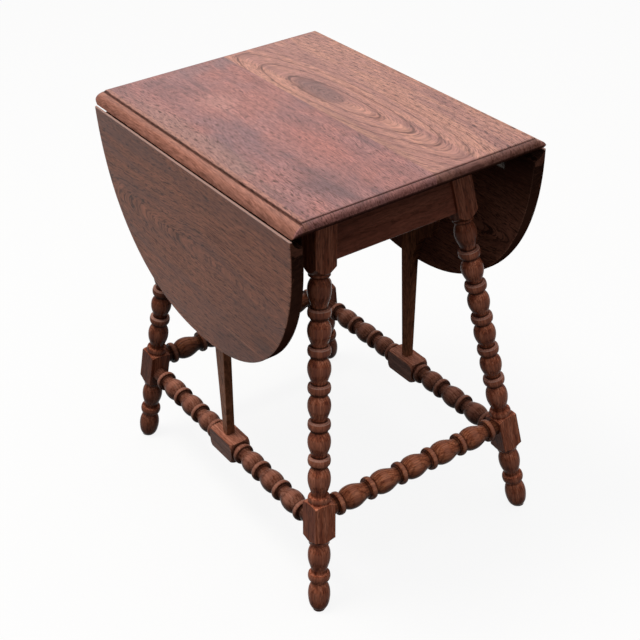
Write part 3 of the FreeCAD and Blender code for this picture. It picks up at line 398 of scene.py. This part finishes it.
leafLook = dict(
    topRightLook, turn=(0, 90, 0), centre=(0.47, -0.10, 0.19), slant=0.0, wander=0.024, tremor=0.004,
    eyeRatio=0.12, pithDepth=0.015, ring=0.016, ringCrowd=1.2,
    lineFade=(4, 14), lineFar=0.35, lineDepth=0.40, lineTone="#54352a",
    tones=[(0.30, "#825345"), (0.46, "#9e6753"), (0.60, "#b27862"), (0.76, "#8f5e4d")],
    cloud=0.40, cloudTone="#936354",
    patches=[
        {"at": (0.330, -0.140, 0.19), "size": (0.150, 0.170, 0.06),
         "ragged": 0.8, "core": 0.3, "share": 0.45, "tone": "#74493b"},
        {"at": (0.350, -0.105, 0.19), "size": (0.032, 0.090, 0.03),
         "ragged": 0.5, "core": 0.75, "share": 0.45, "tone": "#704b44"},
        {"at": (0.3785, -0.094, 0.19), "size": (0.0024, 0.072, 0.03),
         "ragged": 0.1, "core": 0.6, "share": 0.60, "tone": "#b98068"},
        {"at": (0.400, -0.170, 0.19), "size": (0.016, 0.034, 0.03),
         "ragged": 1.6, "core": 0.2, "share": 0.55, "tone": "#5c3f38"}],
    wearDirtAndShadeBands=[], dirtShadeAndHighlightBands=[lipHighlight], streak=0.32, poreDepth=0.95, poreTone="#442b23", poreLength=0.012,
    poreMiddle=1.0, poreRim=1.0, dullBelow=None, rough=0.46, shine=0.12,
    edge={"share": 0.85, "tone": "#4c2e25", "arrisHighlightShare": 0.45, "arrisHighlightTone": "#b88c7c",
          "inside": 0.40, "insideShadeTone": "#170c09"})
rightLeafLook = dict(leafLook, centre=(0.44, 0.07, -0.19), patches=[])
# painted shadow of the top darkens the end rails close under it
endRailLook = dict(
    leafLook, turn=(0, 0, 90), centre=(0.25, 0.10, 0.53), wander=0.012, eyeRatio=0.05,
    lineDepth=0.35, lineTone="#43200f", streak=0.24, poreDepth=0.50, poreTone="#3a1c12",
    patches=[
        # painted shadow of the top
        {"at": (0.0, 0.0, 0.590), "size": (10.0, 10.0, 0.080),
         "ragged": 0.3, "core": 0.1, "share": 0.72, "tone": "#200f0c"}],
    tones=[(0.30, "#623629"), (0.50, "#784638"), (0.64, "#895444"), (0.80, "#6c3e31")],
    cloud=0.25, cloudTone="#804b3c", dirtShadeAndHighlightBands=[], edge=None, rough=0.36, shine=0.02)
rearRailLook = dict(endRailLook, centre=(-0.25, -0.08, 0.53))
sideRailLook = dict(endRailLook, patches=[], turn=(0, 90, 0), centre=(0.53, 0.0, 0.15))
rightRailLook = dict(sideRailLook, centre=(0.54, 0.1, -0.15))
bracketLook = dict(
    leafLook, turn=(-90, 0, 0), centre=(0.17, 0.30, 0.02), wander=0.008, eyeRatio=0.04,
    lineDepth=0.60, lineTone="#4a2c1c", streak=0.34, poreDepth=0.80, poreTone="#42271a",
    tones=[(0.30, "#7e4f39"), (0.48, "#905f46"), (0.62, "#9e6950"), (0.78, "#83543e")],
    cloud=0.25, cloudTone="#8e5d47", patches=[], dirtShadeAndHighlightBands=[], rough=0.5, shine=0.1,
    edge={"share": 0.6, "tone": "#5c3826", "arrisHighlightShare": 0.3, "arrisHighlightTone": "#96694c", "inside": None})
leftBracketLook = dict(bracketLook, centre=(-0.17, 0.35, 0.02))
# the corner blocks are rough-sawn, unstained and greyer
blockLook = dict(
    sideRailLook, turn=(90, 0, 0),
    tones=[(0.30, "#7a5a40"), (0.50, "#8c694c"), (0.64, "#98765a"), (0.80, "#806046")],
    cloudTone="#86664c", lineTone="#5a3f2a", poreTone="#4c3524", rough=0.7, shine=0.2)

# what all turnings share; cells are noise cells per metre across, across and along the turning
turnedGrain = {
    "wanderCells": (40, 40, 7),  # fibres sway over 25 mm across and 140 mm along
    "bend": 0.012,
    "pith": 0.045,  # the middle of the tree lies 45 mm beside the turning's axis
    "ring": 0.0038,  # growth rings 3.8 mm apart
    "lineStops": [(0.0, 0.5), (0.15, 0.1), (0.6, 0.0), (0.9, 1.0), (1.0, 0.6)],
    "streakCells": (150, 150, 12),  # streaks 7 mm wide and 80 mm long
    "poreSize": (0.0014, 0.0014, 0.012),  # drawn 1.4 mm wide so that they show
    "poreSpan": {"From Min": 0.52, "From Max": 0.62}, "poreShare": 0.50, "poreSunk": 0.0003, "bump": 0.1,
    "crownBelow": (0.0009, 0.0002), "crownAbove": 0.0003, "crownShare": 0.25,
    "hollowFade": 0.0014,
    "upperSpan": {"From Min": 0.25, "From Max": 0.95}, "lowerFade": 0.90,
    "footSpan": {"From Min": 0.05, "From Max": 0.33},  # height above the floor
    "rearSpan": {"From Min": -0.05, "From Max": 0.12},  # from the middle of the table to the rear
    "bandCore": 0.3, "darkFade": 0.05,
    "glossSpan": {"From Min": 0.3, "From Max": 0.7}, "smoother": 0.02, "rougher": 0.04}


# Turned black walnut, stained red-brown and polished: dark where stain and painted shade sit in the necks and
# grooves, paler on the rubbed crowns with a painted highlight, with the grain along the turning
# axes give the turning axis, by its place at the floor and its lean per metre of height
def turnedWalnut(name, look):
    material, tree, shader = newMaterial(name)
    source = addNode(tree, "TexCoord").node.outputs
    whole = addNode(tree, "SeparateXYZ", {0: source["Object"]}).node.outputs
    offsets = []
    for axis in look["axes"]:
        side = addNode(tree, "Math", {0: whole[axis["letter"]]}, operation="ABSOLUTE")
        line = addNode(tree, "Math", {0: whole["Z"], 1: axis["lean"], 2: -axis["start"]},
                       operation="MULTIPLY_ADD")
        offsets.append(addNode(tree, "Math", {0: side, 1: line}, operation="ADD"))
    flat = addNode(tree, "CombineXYZ", {"X": offsets[0], "Y": offsets[1]})
    radius = addNode(tree, "VectorMath", {0: flat}, operation="LENGTH")
    # fibres: the cross-section's place, with the length squeezed
    fibre = addNode(tree, "CombineXYZ", {"X": offsets[0], "Y": offsets[1], "Z": whole[look["grain"]]})
    slow = addNode(tree, "Mapping", {"Vector": fibre, "Scale": turnedGrain["wanderCells"]})
    wander = addNode(tree, "TexNoise", {"Vector": slow, "Scale": 1.0, "Detail": 2.0})
    bend = addNode(tree, "Math", {0: wander, 1: turnedGrain["bend"]}, operation="MULTIPLY")
    pith = addNode(tree, "Math", {0: offsets[0], 1: turnedGrain["pith"]}, operation="ADD")
    pith = addNode(tree, "Math", {0: pith, 1: bend}, operation="ADD")
    pith = addNode(tree, "CombineXYZ", {"X": pith, "Y": offsets[1]})
    rings = addNode(tree, "VectorMath", {0: pith}, operation="LENGTH")
    rings = addNode(tree, "Math", {0: rings, 1: turnedGrain["ring"]}, operation="DIVIDE")
    phase = addNode(tree, "Math", {0: rings}, operation="FRACT")
    line = addNode(tree, "ValToRGB", {"Fac": phase}, stops=turnedGrain["lineStops"])
    broad = addNode(tree, "Mapping", {"Vector": fibre, "Scale": turnedGrain["streakCells"]})
    broad = addNode(tree, "TexNoise", {"Vector": broad, "Scale": 1.0, "Detail": 3.0})
    tone = addNode(tree, "ValToRGB", {"Fac": broad}, stops=look["tones"])
    share = addNode(tree, "Math", {0: line, 1: look["lineDepth"]}, operation="MULTIPLY")
    tone = addNode(tree, "Mix", {"Factor": share, toneIn: tone, paintIn: look["lineTone"]}, data_type="RGBA")
    pores = addNode(tree, "Mapping", {"Vector": fibre, "Scale": [1 / s for s in turnedGrain["poreSize"]]})
    pores = addNode(tree, "TexNoise", {"Vector": pores, "Scale": 1.0, "Detail": 1.0})
    pores = addNode(tree, "MapRange", {"Value": pores, **turnedGrain["poreSpan"]})
    share = addNode(tree, "Math", {0: pores, 1: turnedGrain["poreShare"]}, operation="MULTIPLY")
    tone = addNode(tree, "Mix", {"Factor": share, toneIn: tone, paintIn: look["poreTone"]}, data_type="RGBA")
    # wear and a painted highlight on the crowns, not on the square blocks, then stain and painted shade in
    # the hollows
    low, high = turnedGrain["crownBelow"]
    crown = addNode(tree, "MapRange", {"Value": radius, "From Min": look["crown"] - low,
                                       "From Max": look["crown"] - high,
                                       "To Max": turnedGrain["crownShare"]}, **smooth)
    roundPart = addNode(tree, "Math", {0: radius, 1: look["crown"] + turnedGrain["crownAbove"]},
                        operation="LESS_THAN")
    crown = addNode(tree, "Math", {0: crown, 1: roundPart}, operation="MULTIPLY")
    tone = addNode(tree, "Mix", {"Factor": crown, toneIn: tone, paintIn: look["crownTone"]}, data_type="RGBA")
    hollow = addNode(tree, "MapRange", {"Value": radius, "To Max": look["hollowShare"],
                                        "From Min": look["hollow"] + turnedGrain["hollowFade"],
                                        "From Max": look["hollow"]}, **smooth)
    tone = addNode(tree, "Mix", {"Factor": hollow, toneIn: tone, paintIn: look["hollowTone"]},
                   data_type="RGBA")
    # painted light and shade: upper sides paler, undersides darker
    facing = addNode(tree, "SeparateXYZ", {0: source["Normal"]}).node.outputs
    upper = addNode(tree, "MapRange", {"Value": facing["Z"], "To Min": 1.0, "To Max": look["upper"],
                                       **turnedGrain["upperSpan"]})
    lower = addNode(tree, "MapRange", {"Value": facing["Z"], "To Min": look["lower"], "To Max": 1.0,
                                       "From Min": look["lowerFrom"] - turnedGrain["lowerFade"],
                                       "From Max": look["lowerFrom"]})
    square = addNode(tree, "Math", {0: roundPart, 1: 1 - look["square"], 2: look["square"]},
                     operation="MULTIPLY_ADD")
    shade = addNode(tree, "Math", {0: upper, 1: lower}, operation="MULTIPLY")
    shade = addNode(tree, "Math", {0: shade, 1: square}, operation="MULTIPLY")
    # darker toward the feet, and painted shade darkens the turnings at the rear
    towardFeet = addNode(tree, "MapRange", {"Value": whole["Z"], "To Min": look["footShade"], "To Max": 1.0,
                                      **turnedGrain["footSpan"]})
    shade = addNode(tree, "Math", {0: shade, 1: towardFeet}, operation="MULTIPLY")
    rear = addNode(tree, "MapRange", {"Value": whole["Y"], "To Min": 1.0, "To Max": look["rearShade"],
                                      **turnedGrain["rearSpan"]})
    shade = addNode(tree, "Math", {0: shade, 1: rear}, operation="MULTIPLY")
    tone = addNode(tree, "VectorMath", {0: tone, "Scale": shade}, operation="SCALE")
    # place along the turning, then stain and painted shade beside each ring, and wear with a painted
    # highlight on its upper edge
    along = addNode(tree, "Math", {0: whole[look["grain"]]}, operation="ABSOLUTE")
    for axis, offset in zip(look["axes"], offsets):
        along = addNode(tree, "Math", {0: offset, 1: -axis["lean"], 2: along}, operation="MULTIPLY_ADD")
    zoneStart, zoneEnd = look["ringZone"]
    below = addNode(tree, "Math", {0: along, 1: zoneEnd}, operation="LESS_THAN")
    above = addNode(tree, "Math", {0: along, 1: zoneStart}, operation="GREATER_THAN")
    zone = addNode(tree, "Math", {0: below, 1: above}, operation="MULTIPLY")
    for band in look["ringBands"]:
        off = addNode(tree, "Math", {0: along, 1: look["firstRing"] + band["off"]}, operation="SUBTRACT")
        off = addNode(tree, "Math", {0: off, 1: look["ringPitch"] / 2}, operation="PINGPONG")
        share = addNode(tree, "MapRange", {"Value": off, "From Min": band["half"], "To Max": band["share"],
                                           "From Max": band["half"] * turnedGrain["bandCore"]}, **smooth)
        share = addNode(tree, "Math", {0: share, 1: zone}, operation="MULTIPLY")
        tone = addNode(tree, "Mix", {"Factor": share, toneIn: tone, paintIn: band["tone"]}, data_type="RGBA")
    # painted shade darkens the blocks close under the top
    dark = addNode(tree, "MapRange", {"Value": whole["Z"], "To Max": look["dark"],
                                      "From Min": look["darkFrom"],
                                      "From Max": look["darkFrom"] + turnedGrain["darkFade"]})
    tone = addNode(tree, "Mix", {"Factor": dark, toneIn: tone, paintIn: look["hollowTone"]}, data_type="RGBA")
    tree.links.new(tone, shader.inputs["Base Color"])
    gloss = addNode(tree, "MapRange", {"Value": broad, "To Min": look["rough"] - turnedGrain["smoother"],
                                       "To Max": look["rough"] + turnedGrain["rougher"],
                                       **turnedGrain["glossSpan"]})
    tree.links.new(gloss, shader.inputs["Roughness"])
    relief = addNode(tree, "Math", {0: pores, 1: -1.0}, operation="MULTIPLY")
    bump = addNode(tree, "Bump", {"Strength": turnedGrain["bump"], "Distance": turnedGrain["poreSunk"],
                                  "Height": relief})
    tree.links.new(bump, shader.inputs["Normal"])
    shader.inputs["IOR"].default_value = shellacIor
    shader.inputs["Specular IOR Level"].default_value = look["shine"]
    return material


# stain and painted shade beside the rings, wear and a painted highlight on them; off is measured along the
# turning from a ring's middle
ringStainAndShade = {"off": 0.0066, "half": 0.0020, "share": 0.75, "tone": "#1f0d08"}
ringWearAndHighlight = {"off": 0.0044, "half": 0.0012, "share": 0.60, "tone": "#d8a898"}
stretcherStainAndShade = {"off": 0.0054, "half": 0.0024, "share": 0.70, "tone": "#1f0d08"}
stretcherWearAndHighlight = {"off": 0.0, "half": 0.0034, "share": 0.22, "tone": "#c08a76"}
# upper, lower, square, footShade and rearShade scale the tone, upper, lower and rearShade as painted light
# and shade; crown and hollow are radii
legLook = {
    "axes": [{"letter": "X", "start": 0.1843, "lean": 0.13869},
             {"letter": "Y", "start": 0.2509, "lean": 0.13426}],
    "grain": "Z", "lineDepth": 0.40, "lineTone": "#54281a", "poreTone": "#3a1a10",
    "tones": [(0.30, "#773e30"), (0.48, "#a35d43"), (0.62, "#c37b60"), (0.78, "#874835")],
    "crown": 0.0160, "crownTone": "#b67a66", "hollow": 0.0101, "hollowShare": 0.75, "hollowTone": "#220e08",
    "darkFrom": 0.43, "dark": 0.46, "firstRing": 0.4365, "ringPitch": 0.05209, "ringZone": (0.210, 0.455),
    "ringBands": [ringStainAndShade, dict(ringStainAndShade, off=-0.0072), ringWearAndHighlight],
    "upper": 1.45, "lower": 0.35, "lowerFrom": 0.05, "square": 1.10, "footShade": 0.82, "rearShade": 0.62,
    "rough": 0.13, "shine": 0.025}
endStretcherLook = dict(
    legLook, grain="X", lineDepth=0.60,
    axes=[{"letter": "Y", "start": 0.23083, "lean": 0.0}, {"letter": "Z", "start": 0.1495, "lean": 0.0}],
    tones=[(0.30, "#844932"), (0.48, "#a46043"), (0.62, "#bb7757"), (0.78, "#8f5138")],
    crown=0.0172, hollow=0.0116, hollowShare=0.60, firstRing=0.02665, ringPitch=0.0533, ringZone=(0.0, 0.2),
    ringBands=[stretcherStainAndShade, dict(stretcherStainAndShade, off=-0.0054), stretcherWearAndHighlight],
    upper=1.65, lower=0.28, lowerFrom=0.42, square=1.0, footShade=1.0, rearShade=0.40)
sideStretcherLook = dict(
    endStretcherLook, grain="Y",
    axes=[{"letter": "X", "start": 0.166437, "lean": 0.0}, {"letter": "Z", "start": 0.1288, "lean": 0.0}],
    tones=[(0.30, "#693f31"), (0.48, "#7b4f3f"), (0.62, "#8a5c4b"), (0.78, "#6f4536")],
    crown=0.0162, hollow=0.0106, firstRing=0.0869, ringZone=(0.06, 0.3), square=1.60, rearShade=1.0)


# Iron hinge leaves and screws, blacked and rubbed: brown-black with grey wear and a dull metal sheen
def rubbedIron(name, look):
    material, tree, shader = newMaterial(name)
    coords = addNode(tree, "TexCoord").node.outputs["Object"]
    patch = addNode(tree, "TexNoise", {"Vector": coords, "Scale": 1 / look["patch"], "Detail": 4.0})
    tone = addNode(tree, "ValToRGB", {"Fac": patch}, stops=look["tones"])
    tree.links.new(tone, shader.inputs["Base Color"])
    grit = addNode(tree, "TexNoise", {"Vector": coords, "Scale": 1 / look["grit"], "Detail": 2.0})
    rough = addNode(tree, "MapRange", {"Value": grit, "To Min": look["rough"] - look["smoother"],
                                       "To Max": look["rough"] + look["rougher"]})
    tree.links.new(rough, shader.inputs["Roughness"])
    bump = addNode(tree, "Bump", {"Strength": look["bump"], "Distance": look["gritHeight"], "Height": grit})
    tree.links.new(bump, shader.inputs["Normal"])
    shader.inputs["Metallic"].default_value = look["metallic"]
    return material


# patches of wear 6 mm wide and grit of 1.2 mm; the drawn steel of the pins is greyer and smoother
hingeLook = {"patch": 0.006, "tones": [(0.35, "#2e2622"), (0.55, "#4a403a"), (0.72, "#7a7068")],
             "grit": 0.0012, "gritHeight": 0.0002, "bump": 0.25,
             "rough": 0.42, "smoother": 0.08, "rougher": 0.12, "metallic": 0.85}
pinLook = dict(hingeLook, tones=[(0.35, "#4d4742"), (0.60, "#6f6963"), (0.80, "#8f8a84")], rough=0.32)
screwLook = dict(hingeLook, patch=0.003, tones=[(0.35, "#3a322c"), (0.60, "#665c53"), (0.80, "#938a80")])

# which nodes wear each finish, by the start of their names; the first match counts
finishes = [
    ("top_board_right", planedWalnut("planed walnut, right top board", topRightLook)),
    ("top_board_left", planedWalnut("planed walnut, left top board", topLeftLook)),
    ("leaf_left", planedWalnut("planed walnut, left leaf", leafLook)),
    ("leaf_right", planedWalnut("planed walnut, right leaf", rightLeafLook)),
    ("end_rail_front", planedWalnut("planed walnut, front end rail", endRailLook)),
    ("end_rail_rear", planedWalnut("planed walnut, rear end rail", rearRailLook)),
    ("side_rail_left", planedWalnut("planed walnut, left side rail", sideRailLook)),
    ("side_rail_right", planedWalnut("planed walnut, right side rail", rightRailLook)),
    ("corner_block", planedWalnut("sawn hardwood, corner blocks", blockLook)),
    ("swing_bracket_left", planedWalnut("planed walnut, left bracket", leftBracketLook)),
    ("swing_bracket_right", planedWalnut("planed walnut, right bracket", bracketLook)),
    ("leg_", turnedWalnut("turned walnut, legs", legLook)),
    ("end_stretcher", turnedWalnut("turned walnut, end stretchers", endStretcherLook)),
    ("side_stretcher", turnedWalnut("turned walnut, side stretchers", sideStretcherLook)),
    (("hinge_pins", "bracket_pins"), rubbedIron("drawn steel, pins", pinLook)),
    (("top_screws", "hinge_fixed_screws", "hinge_moving_screws"),
     rubbedIron("rubbed iron, screws", screwLook)),
    ("hinge_", rubbedIron("rubbed iron, hinges", hingeLook)),
]
print("finishes made:", len(finishes))
for nodeName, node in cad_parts.items():
    finish = next(material for starts, material in finishes if nodeName.startswith(starts))
    node.data.materials.clear()
    node.data.materials.append(finish)
print("finishes on", len(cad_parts), "nodes")
